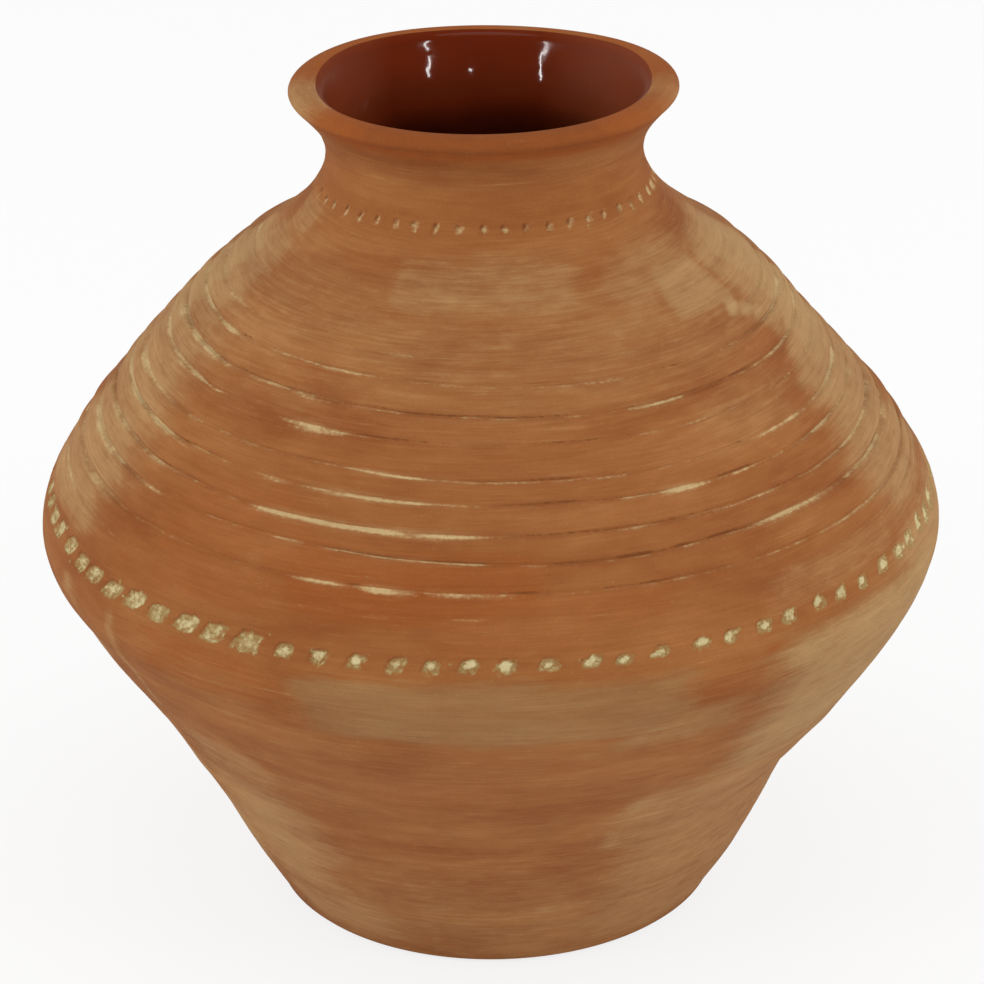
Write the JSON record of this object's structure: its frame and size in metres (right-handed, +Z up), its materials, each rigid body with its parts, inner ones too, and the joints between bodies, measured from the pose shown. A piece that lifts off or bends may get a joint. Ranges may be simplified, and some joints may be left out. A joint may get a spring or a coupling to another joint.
{
  "type": "terracotta vase",
  "caption": "Wide-bellied hand-thrown terracotta vase with a short flared neck, rolled lip, incised shoulder rings, dotted belly row and a dark glossy glaze inside.",
  "frame": {"origin": "centre of the foot's flat underside, on the surface the vase stands on", "axes": "+Z up along the turning axis towards the mouth; -Y faces the viewer of the picture"},
  "size_m": [0.2964, 0.2964, 0.28],
  "materials": {
    "terracotta": "unglazed fired clay, dry-brushed with a thin cream wash",
    "slip": "matt fired slip",
    "glaze": "dark red-brown gloss glaze"
  },
  "bodies": {
    "root": {"base_slab": "terracotta", "foot_cup": "terracotta", "lower_belly": "terracotta", "shoulder": "terracotta", "neck_collar": "terracotta", "lip_roll": "terracotta", "base_luting": "slip", "foot_luting": "slip", "belly_luting": "slip", "neck_luting": "slip", "inner_glaze": "glaze"}
  },
  "joints": []
}
